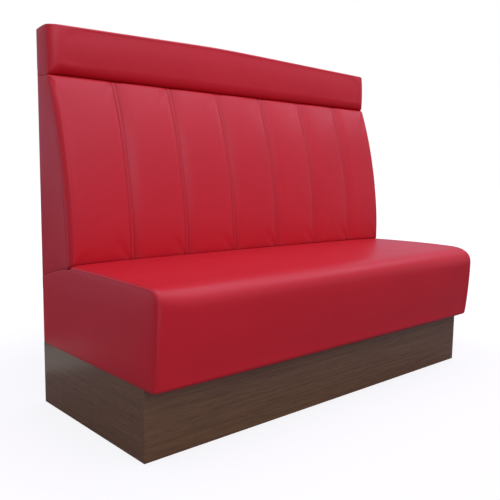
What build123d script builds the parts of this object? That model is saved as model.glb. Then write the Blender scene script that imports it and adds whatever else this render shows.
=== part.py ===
"""Restaurant booth seat: plinth, seat unit, channelled back unit and head roll."""
from build123d import *
import math
import os

# Lengths are in millimetres and angles in degrees.
# +X runs along the seat, -Y is the sitter's side and +Z is up.
# A side outline is drawn in (depth, height): depth counts forward from the rear plane, height from the floor.

# Overall sizes
length = 1500.0
depth = 665.0
height = 1205.0

# Sheet goods
cover_thickness = 1.5
lining_thickness = 1.5
pad_thickness = 6.0
frame_board = 18.0
soft_gap = 0.3
overrun = 20.0

# Plinth
plinth_height = 200.0
plinth_setback = 70.0
plinth_board = 18.0
plinth_rail_lift = 10.0
batten_width = 45.0
batten_thickness = 18.0

# Seat unit
seat_edge_height = 472.0
seat_crown = 5.0
seat_nose_radius = 62.0
seat_nose_tightening = 30.0
seat_nose_fall = 10.0
seat_end_fall = 4.0
seat_nose_swell = 3.0
seat_front_rake = 13.0
seat_foot_radius = 18.0
seat_foot_tightening = 10.0
seat_end_round = 18.0
seat_end_depth = 22.0
seat_edge_round = 7.0
seat_front_pad = 32.0
seat_deck_height = 385.0
deck_board = 12.0
seat_batten_width = 80.0
seat_rear_turn = 40.0
crease_fall = 2.0
ramp_rear_height = 416.0
ramp_front_height = 462.0
rib_place = 250.0

# Back unit
back_foot_depth = 195.0
back_foot_lean = 1.9
back_top_depth = 82.2
face_board = 5.0
back_foam = 20.0
channel_count = 7
channel_thickness = 22.0
channel_rise = 6.0
channel_shoulder = 28.0
channel_crown = 1.2
seam_strip = 8.5
seam_strip_rise = 0.6
back_end_radius = 23.0
back_end_seam_drop = 25.0
middle_rail_height = 730.0
middle_rail_width = 70.0

# Head roll
roll_height = 165.0
roll_crown = 15.0
roll_swell = 5.0
roll_overhang = 3.0
roll_taper = 5.0
roll_top_radius = 9.0
roll_top_slope = 0.1
roll_foot_radius = 28.0
roll_foot_tightening = 16.0
roll_end_round = 32.0
roll_end_depth = 16.0
roll_board = 12.0
roll_board_drop = 16.0
roll_rear_bare = 21.0

# Fasteners
screw_radius = 3.0
screw_length = 34.0
screw_head_across = 10.0
screw_head_sides = 6
screw_head_height = 4.0
hole_clearance = 0.5
pilot_clearance = 0.05
roll_screw_depth = 12.5

# Places along the length, as shares of the half length
round_station_shares = (0.35, 1.0)
crown_station_shares = (0.1, 0.3, 1.0)
crown_power = 6.0
seat_screw_shares = (-0.6, 0.6)
back_screw_shares = (-0.6, 0.0, 0.6)

# Slope at which the seat's top, a shallow arc, reaches the nose: three times its fall over its run
top_tip_share = 3.0

# Sizes that follow from those above
half = length / 2
rear_y = depth / 2
board_end = half - cover_thickness - pad_thickness
cover_end = half - cover_thickness
foam_start = cover_thickness + soft_gap
back_top_height = height - roll_height
frame_rear = lining_thickness
seat_bottom = plinth_height + lining_thickness
plinth_front = depth - plinth_setback
plinth_inner = plinth_front - plinth_board
seat_board_front = depth - seat_nose_swell - seat_front_rake - seat_front_pad
seat_board_inner = seat_board_front - frame_board
deck_top = seat_deck_height + deck_board
ramp_slope = (ramp_front_height - ramp_rear_height) / back_foot_depth
ramp_angle = math.degrees(math.atan(ramp_slope))
ramp_rise = 1 / math.cos(math.radians(ramp_angle))
crease_depth = back_foot_depth + soft_gap
ramp_front = crease_depth + cover_thickness
lean = math.radians(back_foot_lean)
back_set_back = back_foot_depth - back_top_depth
back_climb = back_top_height - ramp_front_height
back_away = back_set_back * math.cos(lean) - back_climb * math.sin(lean)
back_face_radius = (back_set_back ** 2 + back_climb ** 2) / (2 * back_away)
arc_depth = back_foot_depth - back_face_radius * math.cos(lean)
arc_height = ramp_front_height - back_face_radius * math.sin(lean)
foam_radius = back_face_radius - channel_thickness
panel_radius = foam_radius - back_foam
rib_radius = panel_radius - face_board
channel_width = length / channel_count
roll_inner_foot = back_top_height + cover_thickness
roll_foot_depth = back_top_depth + roll_overhang
roll_top_run = roll_foot_depth + roll_swell - roll_taper - roll_top_radius
roll_rear_height = height - roll_crown - roll_top_slope * roll_top_run
roll_shelf_front = roll_foot_depth - roll_foot_radius - roll_end_depth
roll_shelf_top = roll_inner_foot + frame_board

parts = {}


# Drawing helpers

def side_plane(x):
    """The side-view plane at x: first axis forward from the rear plane, second axis up."""
    return Plane(origin=(x, rear_y, 0), x_dir=(0, -1, 0), z_dir=(-1, 0, 0))


def board(x_low, x_high, depth_low, depth_high, z_low, z_high):
    """A square-edged board between two corners."""
    box = Box(x_high - x_low, depth_high - depth_low, z_high - z_low)
    centre_y = rear_y - (depth_low + depth_high) / 2
    return Pos((x_low + x_high) / 2, centre_y, (z_low + z_high) / 2) * box


def side_part(edges, x_low, x_high):
    """A piece with a side outline, from x_low to x_high."""
    return extrude(side_plane(x_high) * make_face(edges), x_high - x_low)


def polygon(*points):
    """The edges of a closed side outline with straight sides."""
    return Polyline(*points, close=True)


def arc_at_height(radius, z):
    """Depth at which an arc round the back's centre reaches a height."""
    return arc_depth + math.sqrt(radius ** 2 - (z - arc_height) ** 2)


def ramp_at(d, below=0.0):
    """Height of the ramp at a depth, or of a line that lies square below it."""
    return ramp_rear_height + ramp_slope * d - below * ramp_rise


def arc_at_ramp(radius, above=0.0):
    """Point where an arc round the back's centre meets the ramp, or a line square above it."""
    rise = ramp_at(arc_depth, -above) - arc_height
    a = 1 + ramp_slope ** 2
    b = ramp_slope * rise
    across = (-b + math.sqrt(b ** 2 - a * (rise ** 2 - radius ** 2))) / a
    d = arc_depth + across
    return (d, ramp_at(d, -above))


def arc_between(radius, low, high):
    """The edge along an arc round the back's centre, between two of its points."""
    middle_z = (low[1] + high[1]) / 2
    return ThreePointArc(low, (arc_at_height(radius, middle_z), middle_z), high)


def quarter(start, corner, end):
    """A quarter round from start to end, inside the square corner."""
    centre = (start[0] + end[0] - corner[0], start[1] + end[1] - corner[1])
    share = math.sqrt(0.5)
    middle = tuple(centre[i] + share * (2 * corner[i] - start[i] - end[i]) for i in (0, 1))
    return ThreePointArc(start, middle, end)


def round_point(centre, radius, turn):
    """The point of a round whose outward direction leans forward from upright by an angle."""
    return (centre[0] + radius * math.sin(turn), centre[1] + radius * math.cos(turn))


def closed_band(outer, inner):
    """The face between two open paths that run the same way."""
    ends = [Line(outer[-1] @ 1, inner[-1] @ 1), Line(inner[0] @ 0, outer[0] @ 0)]
    return make_face([*outer, *inner, *ends])


def end_round_share(t, radius):
    """How far a rounded end is drawn in at distance t from it, from 1 at the end to 0."""
    if t >= radius:
        return 0.0
    return 1 - math.sqrt(1 - ((radius - t) / radius) ** 2)


def crown_share(t):
    """How full the padding is at distance t from the end, from 0 to 1 at mid length."""
    return 1 - (1 - t / half) ** crown_power


def stations(radius, first):
    """Distances from the end at which a padded form has a section, starting from first. Covers have one
    where their foam starts, so that the two run side by side."""
    places = [foam_start] + [radius * share for share in round_station_shares]
    places += [half * share for share in crown_station_shares]
    return [first] + [t for t in places if t > first]


def padded_loft(section, radius, first=0.0):
    """A padded form along the length: sections at both ends' stations, joined by ruled faces."""
    near = stations(radius, first)
    xs = [t - half for t in near] + [half - t for t in reversed(near[:-1])]
    faces = [side_plane(x) * section(half - abs(x)) for x in xs]
    return loft(faces, ruled=True)


def along_length(shares):
    """Places along the length, given as shares of the half length."""
    return [share * half for share in shares]


# Plinth

def make_plinth():
    parts["plinth_front_board"] = board(-half, half, plinth_inner, plinth_front, 0, plinth_height)
    parts["plinth_left_board"] = board(-half, plinth_board - half, 0, plinth_inner, 0, plinth_height)
    parts["plinth_right_board"] = board(half - plinth_board, half, 0, plinth_inner, 0, plinth_height)
    inner_end = half - plinth_board
    parts["plinth_rear_rail"] = board(-inner_end, inner_end, 0, plinth_board, 0, plinth_height)

    batten_foot = plinth_height - batten_thickness
    battens = {
        "plinth_front_batten": (plinth_inner - batten_width, plinth_inner),
        "plinth_rear_batten": (plinth_board, plinth_board + batten_width),
    }
    for name, (low, high) in battens.items():
        batten = board(-inner_end, inner_end, low, high, batten_foot, plinth_height)
        parts[name] = bored(batten, seat_screw_places(), hole_clearance)

    notch = plinth_board + batten_width
    front_notch = plinth_inner - batten_width
    outline = polygon(
        (plinth_board, plinth_rail_lift), (plinth_inner, plinth_rail_lift), (plinth_inner, batten_foot),
        (front_notch, batten_foot), (front_notch, plinth_height), (notch, plinth_height),
        (notch, batten_foot), (plinth_board, batten_foot),
    )
    for side, name in ((-1, "left"), (1, "right")):
        middle = side * rib_place
        rail = side_part(outline, middle - plinth_board / 2, middle + plinth_board / 2)
        parts[f"plinth_cross_rail_{name}"] = rail


# Coach screws. Each place is a location on the underside of the lower piece, with its own axis along the
# screw and upwards.

def seat_screw_places():
    """Up through the plinth's two battens into those of the seat."""
    rows = (plinth_board + batten_width / 2, plinth_inner - batten_width / 2)
    z = plinth_height - batten_thickness
    return [Location((x, rear_y - d, z)) for d in rows for x in along_length(seat_screw_shares)]


def back_screw_places():
    """Square up through the ramp into the foot of the back."""
    middle = (frame_rear + ramp_front) / 2
    z = ramp_at(middle, cover_thickness + frame_board)
    turn = (-ramp_angle, 0, 0)
    return [Location((x, rear_y - middle, z), turn) for x in along_length(back_screw_shares)]


def roll_screw_places():
    """Up through the top of the back into the shelf of the head roll."""
    z = back_top_height - frame_board
    return [Location((x, rear_y - roll_screw_depth, z)) for x in along_length(back_screw_shares)]


def bored(piece, places, clearance):
    """A piece with the holes of the screws at these places."""
    hole_length = screw_length + pilot_clearance
    hole = Cylinder(screw_radius + clearance, hole_length, align=(Align.CENTER, Align.CENTER, Align.MIN))
    for place in places:
        piece -= place * hole
    return piece


def make_screws():
    shank = Cylinder(screw_radius, screw_length, align=(Align.CENTER, Align.CENTER, Align.MIN))
    head_face = RegularPolygon(screw_head_across / 2, screw_head_sides, major_radius=False)
    screw = shank + extrude(head_face, -screw_head_height)
    places = seat_screw_places() + back_screw_places() + roll_screw_places()
    parts["coach_screws"] = Compound(children=[place * screw for place in places])


# Seat unit

def seat_path(t, inset=0.0):
    """The seat cover's side path at distance t from the end, drawn in by inset:
    rear turn, ramp, crease, top, nose, front and the turn under the seat."""
    drawn = end_round_share(t, seat_end_round)
    full = crown_share(t)
    top = seat_edge_height + seat_crown * full - seat_edge_round * drawn - inset
    nose = depth - seat_nose_swell * (1 - full) - seat_end_depth * drawn - inset
    radius = seat_nose_radius - seat_nose_tightening * (1 - full) - inset
    foot = plinth_height + inset
    foot_radius = seat_foot_radius - seat_foot_tightening * (1 - full) - inset
    crease = crease_depth + inset
    fall = seat_end_fall + (seat_nose_fall - seat_end_fall) * full
    foot_front = nose - seat_front_rake
    rear_foot = ramp_rear_height - seat_rear_turn
    rear_top = (inset, ramp_at(inset, inset))
    crease_foot = (crease, ramp_at(crease, inset))
    crease_top = (crease, top - crease_fall)
    tip = math.atan((top_tip_share * fall + crease_fall) / (nose - radius - crease))
    centre = (nose - radius, top - fall - radius * math.cos(tip))
    nose_start, nose_middle = (round_point(centre, radius, turn) for turn in (tip, (tip + math.pi / 2) / 2))
    nose_end = (nose, centre[1])
    front_foot = (foot_front, foot + foot_radius)
    under_start = (foot_front - foot_radius, foot)
    under_end = (plinth_front + soft_gap, foot)
    top_middle = ((crease + nose_start[0]) / 2, top)
    return [
        Line((inset, rear_foot), rear_top),
        Line(rear_top, crease_foot),
        Line(crease_foot, crease_top),
        ThreePointArc(crease_top, top_middle, nose_start),
        ThreePointArc(nose_start, nose_middle, nose_end),
        Line(nose_end, front_foot),
        quarter(front_foot, (foot_front, foot), under_start),
        Line(under_start, under_end),
    ]


def seat_cover_section(t):
    return closed_band(seat_path(t), seat_path(t, cover_thickness))


def front_cut(front, z):
    """Depth at which the sloping front line passes a height."""
    top, foot = front @ 0, front @ 1
    return foot.X + (top.X - foot.X) * (z - foot.Y) / (top.Y - foot.Y)


def seat_foam_section(t):
    path = seat_path(t, foam_start)
    arc, nose, front = path[3:6]
    face_cut = (front_cut(front, deck_top), deck_top)
    start = (ramp_front, deck_top)
    crease_top = (ramp_front, (arc @ 0).Y)
    return make_face([
        Line(start, crease_top),
        Line(crease_top, arc @ 0),
        arc,
        nose,
        Line(nose @ 1, face_cut),
        Line(face_cut, start),
    ])


def seat_front_foam_section(t):
    path = seat_path(t, foam_start)
    front, foot_arc = path[5:7]
    face_cut = (front_cut(front, deck_top), deck_top)
    under = foot_arc @ 1
    foot_rear = (seat_board_front, under.Y)
    top_rear = (seat_board_front, deck_top)
    return make_face([
        Line(face_cut, front @ 1),
        foot_arc,
        Line(under, foot_rear),
        Line(foot_rear, top_rear),
        Line(top_rear, face_cut),
    ])


def make_seat_frame():
    lining = board(-cover_end, cover_end, frame_rear, plinth_front, plinth_height, seat_bottom)
    parts["seat_base_lining"] = bored(lining, seat_screw_places(), hole_clearance)
    parts["seat_front_board"] = board(
        -board_end, board_end, seat_board_inner, seat_board_front, seat_bottom, seat_deck_height,
    )
    inner_end = board_end - frame_board
    rear_inner = frame_rear + frame_board
    ramp_under = cover_thickness + frame_board
    parts["seat_rear_board"] = side_part(polygon(
        (frame_rear, seat_bottom), (rear_inner, seat_bottom),
        (rear_inner, ramp_at(rear_inner, ramp_under)), (frame_rear, ramp_at(frame_rear, ramp_under)),
    ), -inner_end, inner_end)

    end_outline = polygon(
        (frame_rear, seat_bottom), (seat_board_inner, seat_bottom), (seat_board_inner, seat_deck_height),
        (ramp_front, seat_deck_height), (ramp_front, ramp_at(ramp_front, ramp_under)),
        (frame_rear, ramp_at(frame_rear, ramp_under)),
    )
    parts["seat_left_end_board"] = side_part(end_outline, -board_end, -inner_end)
    parts["seat_right_end_board"] = side_part(end_outline, inner_end, board_end)

    rail_rear = ramp_front - frame_board
    batten_top = seat_bottom + batten_thickness
    front_notch = seat_board_inner - seat_batten_width
    rear_notch = rear_inner + seat_batten_width
    rib_outline = polygon(
        (rear_inner, batten_top), (rear_notch, batten_top), (rear_notch, seat_bottom),
        (front_notch, seat_bottom), (front_notch, batten_top), (seat_board_inner, batten_top),
        (seat_board_inner, seat_deck_height), (rail_rear, seat_deck_height),
        (rail_rear, ramp_at(rail_rear, ramp_under)), (rear_inner, ramp_at(rear_inner, ramp_under)),
    )
    for side, name in ((-1, "left"), (1, "right")):
        middle = side * rib_place
        rib = side_part(rib_outline, middle - frame_board / 2, middle + frame_board / 2)
        parts[f"seat_{name}_rib"] = rib

    parts["seat_ramp_rail"] = side_part(polygon(
        (rail_rear, seat_deck_height), (ramp_front, seat_deck_height),
        (ramp_front, ramp_at(ramp_front, ramp_under)), (rail_rear, ramp_at(rail_rear, ramp_under)),
    ), -inner_end, inner_end)
    ramp_board = side_part(polygon(
        (frame_rear, ramp_at(frame_rear, ramp_under)), (ramp_front, ramp_at(ramp_front, ramp_under)),
        (ramp_front, ramp_at(ramp_front, cover_thickness)),
        (frame_rear, ramp_at(frame_rear, cover_thickness)),
    ), -board_end, board_end)
    parts["seat_ramp_board"] = bored(ramp_board, back_screw_places(), hole_clearance)

    parts["seat_deck"] = board(
        -board_end, board_end, ramp_front, seat_board_front, seat_deck_height, deck_top,
    )
    battens = {
        "seat_front_batten": (front_notch, seat_board_inner),
        "seat_rear_batten": (rear_inner, rear_notch),
    }
    for name, (low, high) in battens.items():
        batten = board(-inner_end, inner_end, low, high, seat_bottom, batten_top)
        parts[name] = bored(batten, seat_screw_places(), pilot_clearance)


def make_seat_upholstery():
    parts["seat_foam"] = padded_loft(seat_foam_section, seat_end_round, foam_start)
    parts["seat_front_foam"] = padded_loft(seat_front_foam_section, seat_end_round, foam_start)
    cover = padded_loft(seat_cover_section, seat_end_round)
    parts["seat_cover"] = bored(cover, back_screw_places(), hole_clearance)

    pad_outline = polygon(
        (frame_rear, seat_bottom), (seat_board_front, seat_bottom), (seat_board_front, deck_top),
        (ramp_front, deck_top), (ramp_front, ramp_at(ramp_front, cover_thickness)),
        (frame_rear, ramp_at(frame_rear, cover_thickness)),
    )
    path = seat_path(0.0, foam_start)
    arc, nose, front, foot_arc = path[3:7]
    rear_top, crease_foot = path[1] @ 0, path[1] @ 1
    foot_rear = (rear_top.X, (foot_arc @ 1).Y)
    end_outline = [
        path[1], Line(crease_foot, arc @ 0), arc, nose, front, foot_arc,
        Line(foot_arc @ 1, foot_rear), Line(foot_rear, rear_top),
    ]
    for name, side in (("left", -1), ("right", 1)):
        inner, outer = sorted((side * board_end, side * cover_end))
        parts[f"seat_{name}_end_pad"] = side_part(pad_outline, inner, outer)
        inner, outer = sorted((side * cover_end, side * half))
        parts[f"seat_{name}_end_cover"] = side_part(end_outline, inner, outer)

    tail_foot = (path[0] @ 0).Y - soft_gap
    parts["seat_rear_lining"] = board(-cover_end, cover_end, 0, frame_rear, seat_bottom, tail_foot)


# Back unit

def make_back_frame():
    foot_top = frame_board
    inner_end = board_end - frame_board
    rail_foot = back_top_height - frame_board
    rear_low = (frame_rear, ramp_at(frame_rear))
    rear_high = (frame_rear, ramp_at(frame_rear, -foot_top))
    front_low = arc_at_ramp(rib_radius)
    front_high = arc_at_ramp(rib_radius, foot_top)
    foot_board = side_part([
        Line(rear_low, front_low), arc_between(rib_radius, front_low, front_high),
        Line(front_high, rear_high), Line(rear_high, rear_low),
    ], -board_end, board_end)
    parts["back_foot_board"] = bored(foot_board, back_screw_places(), pilot_clearance)

    rib_top = (arc_at_height(rib_radius, rail_foot), rail_foot)
    rear_top = (frame_rear, rail_foot)
    front = arc_between(rib_radius, front_high, rib_top)
    end_rib = [front, Line(rib_top, rear_top), Line(rear_top, rear_high), Line(rear_high, front_high)]
    parts["back_left_end_rib"] = side_part(end_rib, -board_end, -inner_end)
    parts["back_right_end_rib"] = side_part(end_rib, inner_end, board_end)

    notch_depth = frame_rear + frame_board
    notch_top = middle_rail_height + middle_rail_width
    inner_rib = [front, Line(rib_top, rear_top), *Polyline(
        rear_top, (frame_rear, notch_top), (notch_depth, notch_top), (notch_depth, middle_rail_height),
        (frame_rear, middle_rail_height), rear_high, front_high,
    ).edges()]
    for side, name in ((-1, "left"), (1, "right")):
        middle = side * rib_place
        rib = side_part(inner_rib, middle - frame_board / 2, middle + frame_board / 2)
        parts[f"back_{name}_rib"] = rib
    parts["back_middle_rail"] = board(
        -inner_end, inner_end, frame_rear, notch_depth, middle_rail_height, notch_top,
    )

    rail_top = (arc_at_height(rib_radius, back_top_height), back_top_height)
    rail_rear = (frame_rear, back_top_height)
    top_rail = side_part([
        arc_between(rib_radius, rib_top, rail_top), Line(rail_top, rail_rear),
        Line(rail_rear, rear_top), Line(rear_top, rib_top),
    ], -board_end, board_end)
    parts["back_top_rail"] = bored(top_rail, roll_screw_places(), hole_clearance)


def curved_sheet(inner_radius, outer_radius, x_low, x_high):
    """A sheet bent round the back's centre, from the ramp up to the back's top."""
    inner_low, outer_low = arc_at_ramp(inner_radius), arc_at_ramp(outer_radius)
    inner_high = (arc_at_height(inner_radius, back_top_height), back_top_height)
    outer_high = (arc_at_height(outer_radius, back_top_height), back_top_height)
    return side_part([
        arc_between(inner_radius, inner_low, inner_high), Line(inner_high, outer_high),
        arc_between(outer_radius, outer_low, outer_high), Line(outer_low, inner_low),
    ], x_low, x_high)


def back_side_outline(radius, rear, foot_gap, top_gap):
    """The back's side from its rear to an arc round its centre, between the ramp and the head roll."""
    top = back_top_height - top_gap
    low = arc_at_ramp(radius, foot_gap)
    high = (arc_at_height(radius, top), top)
    rear_low = (rear, ramp_at(rear, -foot_gap))
    return [
        arc_between(radius, low, high), Line(high, (rear, top)),
        Line((rear, top), rear_low), Line(rear_low, low),
    ]


def channel_section(index):
    """A channel's section in (x, radius): a flat base, soft shoulders and a slight crown. The outer side
    of an end channel turns back round the foam to the end seam, and the others carry the felled strip."""
    left = index * channel_width - half
    right = left + channel_width - soft_gap
    base = foam_radius + soft_gap
    valley = back_face_radius - channel_rise - channel_crown
    shoulder_top = back_face_radius - channel_crown
    face_low, face_high = left + channel_shoulder, right - channel_shoulder - seam_strip
    if index == 0:
        face_low = left + back_end_radius
    if index == channel_count - 1:
        right = half
        face_high = half - back_end_radius
    crown = ThreePointArc(
        (face_low, shoulder_top), ((face_low + face_high) / 2, back_face_radius), (face_high, shoulder_top),
    )
    edges = [crown]
    edges += end_turn(left, 1, face_low) if index == 0 else shoulder(left, valley, face_low)
    if index == channel_count - 1:
        edges += end_turn(right, -1, face_high)
    else:
        strip = right - seam_strip
        edges += shoulder(strip, valley, face_high)[:1]
        ridge = ((strip + right) / 2, valley + seam_strip_rise)
        edges += Polyline((strip, valley), ridge, (right, valley), (right, base)).edges()
    starts = base_end(left, 1) if index == 0 else (left, base)
    ends = base_end(right, -1) if index == channel_count - 1 else (right, base)
    edges.append(Line(starts, ends))
    return make_face(edges)


def shoulder(x, valley, face_x):
    """The soft rise from a seam to a channel's face, and the short side below it."""
    top = back_face_radius - channel_crown
    rise = top - valley
    run = face_x - x
    radius = (run ** 2 + rise ** 2) / (2 * rise)
    half_turn = math.asin(abs(run) / radius) / 2
    middle = (
        face_x - math.copysign(radius * math.sin(half_turn), run),
        top - radius * (1 - math.cos(half_turn)),
    )
    base = foam_radius + soft_gap
    return [ThreePointArc((x, valley), middle, (face_x, top)), Line((x, base), (x, valley))]


def base_end(x, inward):
    """Where an end channel's base meets the part that turns round the foam's end."""
    return (x + inward * (back_end_radius + soft_gap), foam_radius + soft_gap)


def end_turn(x, inward, face_x):
    """An end channel's outer side: round to the end seam, and back under it to the foam's end."""
    top = back_face_radius - channel_crown
    side_top = top - back_end_radius
    seam = back_face_radius - back_end_seam_drop
    behind = x + inward * (cover_thickness + soft_gap)
    foot = panel_radius + soft_gap
    foot_inner = base_end(x, inward)[0]
    path = Polyline(
        (x, side_top), (x, seam), (behind, seam), (behind, foot), (foot_inner, foot), base_end(x, inward),
    )
    return [quarter((x, side_top), (x, top), (face_x, top)), *path.edges()]


def make_channels():
    centre_y = rear_y - arc_depth
    section_plane = Plane(origin=(0, centre_y, arc_height), x_dir=(1, 0, 0), z_dir=(0, 0, -1))
    axis = Axis((0, centre_y, arc_height), (-1, 0, 0))
    inner_low = arc_at_ramp(panel_radius)
    start = math.degrees(math.asin((inner_low[1] - overrun - arc_height) / back_face_radius))
    end = math.degrees(math.asin((back_top_height + overrun - arc_height) / panel_radius))
    envelope = side_part(
        back_side_outline(back_face_radius + overrun, frame_rear, soft_gap, soft_gap), -half, half,
    )
    for index in range(channel_count):
        section_face = (section_plane * channel_section(index)).rotate(axis, start)
        swept = revolve(section_face, axis, end - start)
        parts[f"back_channel_{index + 1}"] = swept & envelope


def make_back_upholstery():
    foam_end = half - back_end_radius - 2 * soft_gap
    parts["back_face_board"] = curved_sheet(rib_radius + soft_gap, panel_radius, -board_end, board_end)
    parts["back_foam"] = curved_sheet(panel_radius + soft_gap, foam_radius, -foam_end, foam_end)
    pad_outline = back_side_outline(panel_radius, frame_rear, 0.0, 0.0)
    seam_radius = back_face_radius - back_end_seam_drop - soft_gap
    cover_outline = back_side_outline(seam_radius, 0.0, soft_gap, soft_gap)
    for name, side in (("left", -1), ("right", 1)):
        inner, outer = sorted((side * board_end, side * cover_end))
        parts[f"back_{name}_end_pad"] = side_part(pad_outline, inner, outer)
        inner, outer = sorted((side * cover_end, side * half))
        parts[f"back_{name}_end_cover"] = side_part(cover_outline, inner, outer)
    parts["back_rear_lining"] = board(
        -cover_end, cover_end, 0, frame_rear, ramp_at(frame_rear) + soft_gap, back_top_height,
    )


# Head roll

def roll_path(t, inset=0.0):
    """The head roll cover's side path at distance t from the end, drawn in by inset:
    up the rear, over the top, down the front and back under the foot."""
    drawn = end_round_share(t, roll_end_round)
    full = crown_share(t)
    front_foot = roll_foot_depth + roll_swell * full - roll_end_depth * drawn - inset
    front_top = front_foot - roll_taper
    top_radius = roll_top_radius - inset
    top_start = front_top - top_radius
    rear_edge = roll_rear_height + roll_crown * full - inset
    rear_top = rear_edge + roll_top_slope * inset
    top = rear_edge + roll_top_slope * top_start
    foot = back_top_height + inset
    foot_radius = roll_foot_radius - roll_foot_tightening * (1 - full) - inset
    under_end = frame_rear + roll_rear_bare
    rear_foot = back_top_height + roll_rear_bare
    return [
        Line((inset, rear_foot), (inset, rear_top)),
        Line((inset, rear_top), (top_start, top)),
        quarter((top_start, top), (front_top, top), (front_top, top - top_radius)),
        Line((front_top, top - top_radius), (front_foot, foot + foot_radius)),
        quarter((front_foot, foot + foot_radius), (front_foot, foot), (front_foot - foot_radius, foot)),
        Line((front_foot - foot_radius, foot), (under_end, foot)),
    ]


def roll_cover_section(t):
    return closed_band(roll_path(t), roll_path(t, cover_thickness))


def roll_foam_section(t):
    path = roll_path(t, foam_start)
    board_front = frame_rear + roll_board
    board_top = roll_rear_height - roll_board_drop
    rear_top, foot = path[0] @ 1, path[4] @ 1
    foot_rear = (roll_shelf_front, foot.Y)
    steps = Polyline(
        foot_rear, (roll_shelf_front, roll_shelf_top), (board_front, roll_shelf_top), (board_front, board_top),
        (rear_top.X, board_top), rear_top,
    )
    return make_face([*path[1:5], Line(foot, foot_rear), *steps.edges()])


def make_head_roll():
    shelf = board(
        -cover_end, cover_end, frame_rear, roll_shelf_front, roll_inner_foot, roll_shelf_top,
    )
    parts["roll_shelf"] = bored(shelf, roll_screw_places(), pilot_clearance)
    board_top = roll_rear_height - roll_board_drop
    parts["roll_board"] = board(
        -cover_end, cover_end, frame_rear, frame_rear + roll_board, roll_shelf_top, board_top,
    )
    parts["roll_foam"] = padded_loft(roll_foam_section, roll_end_round, foam_start)
    parts["roll_cover"] = padded_loft(roll_cover_section, roll_end_round)

    path = roll_path(0.0, foam_start)
    rear_top, foot = path[1] @ 0, path[4] @ 1
    rear_foot = (rear_top.X, foot.Y)
    end_outline = [*path[1:5], Line(foot, rear_foot), Line(rear_foot, rear_top)]
    for name, side in (("left", -1), ("right", 1)):
        inner, outer = sorted((side * cover_end, side * half))
        parts[f"roll_{name}_end_cover"] = side_part(end_outline, inner, outer)


make_plinth()
make_seat_frame()
make_seat_upholstery()
make_back_frame()
make_back_upholstery()
make_channels()
make_head_roll()
make_screws()

os.makedirs("parts", exist_ok=True)
for node, shape in parts.items():
    export_step(shape, f"parts/{node}.step")
print(len(parts), "parts written")
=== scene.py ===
"""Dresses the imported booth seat: padded vinyl covers, stitching, timber, lining, light and camera."""
import math

import bpy
import numpy as np
from mathutils import Matrix, Vector
from mathutils.geometry import delaunay_2d_cdt


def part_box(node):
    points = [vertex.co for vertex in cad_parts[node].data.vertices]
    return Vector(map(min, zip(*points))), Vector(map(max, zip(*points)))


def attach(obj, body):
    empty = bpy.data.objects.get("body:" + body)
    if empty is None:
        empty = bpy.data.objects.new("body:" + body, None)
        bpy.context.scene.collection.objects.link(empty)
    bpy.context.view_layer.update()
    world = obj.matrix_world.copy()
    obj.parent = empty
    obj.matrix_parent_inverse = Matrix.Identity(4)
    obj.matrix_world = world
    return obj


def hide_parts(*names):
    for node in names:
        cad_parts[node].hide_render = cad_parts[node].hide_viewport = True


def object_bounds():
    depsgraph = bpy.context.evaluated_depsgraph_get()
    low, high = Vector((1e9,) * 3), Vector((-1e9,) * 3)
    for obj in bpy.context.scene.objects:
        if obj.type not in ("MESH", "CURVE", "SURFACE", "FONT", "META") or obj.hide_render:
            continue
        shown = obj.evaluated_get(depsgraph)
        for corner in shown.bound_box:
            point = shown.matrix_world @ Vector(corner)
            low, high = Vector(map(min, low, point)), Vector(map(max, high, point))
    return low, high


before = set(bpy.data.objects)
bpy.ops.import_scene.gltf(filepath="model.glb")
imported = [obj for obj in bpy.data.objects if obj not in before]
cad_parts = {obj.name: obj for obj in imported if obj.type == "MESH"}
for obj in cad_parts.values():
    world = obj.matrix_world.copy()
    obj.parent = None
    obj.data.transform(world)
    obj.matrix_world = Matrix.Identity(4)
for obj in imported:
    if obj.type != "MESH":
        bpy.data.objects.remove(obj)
cad_box = [list(corner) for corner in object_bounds()]
mm = 0.001

# Sizes are in millimetres. A place is (x, depth, height): depth counts forward from the rear plane.
low_corner, high_corner = (np.array(corner) / mm for corner in cad_box)
half = high_corner[0]
rear_y = high_corner[1]

# Seat. Where two sizes are given, the first holds at the ends and the second away from them. Where three
# are given, the third holds at the right end.
seat_edge_height = 472
seat_crown = 5
seat_depth = 662
left_rise = 2
right_rise = 3
seat_foot = 200
nose_reach = (40, 84, 88)
nose_drop = (34, 84, 56)
nose_fall = (4, 10, 5)
nose_swell = 3
front_rake = 13
front_bulge = 3
foot_round = (8, 20)
foot_sag = (0.5, 6)
soften_reach = 60
seat_end_reach = 17
seat_end_depth = 12
seat_edge_round = 9
crease_fall = 2
right_crease_fall = 9
crease_radius = 9
plinth_front = 595
seat_board_front = 617
deck_top = 397
ramp_rear_height = 416
ramp_front_height = 462
ramp_bulge = 6
rear_turn = 40
board_gap = 1.2
wall_least = 1
crease_round_share = 0.8
ramp_bulge_reach = 7
top_dip = 0.7
top_lift = 0.5
nose_turn = 0.6
nose_lower_turn = 0.7
rear_corner_radius = 3

# Back
back_foot_depth = 195
back_top_depth = 82.2
back_foot_lean = math.radians(1.9)
back_top_height = 1040
back_padding = 42
back_belly = 6
belly_power = 4
channel_count = 7
channel_crown = 1.4
left_shoulder = 50
right_shoulder = 30
shoulder_steps = (0.45, 1.4, 6)
shoulder_power = 2.2
seam_depth = 9
strip_width = 15
seam_shift = 11
strip_depth = 4.4
end_turn_width = 18
end_turn_points = 10
end_seam_least = 8
end_seam_drop = 14
end_seam_power = 1.6
end_seam_top = 1000
end_seam_belly = 0.8
face_points = 16
row_steps = (0.8, 1.4, 10)
ramp_meet = 3
top_edge_radius = 6
bottom_edge_radius = 14
crease_shade_reach = 7

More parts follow.
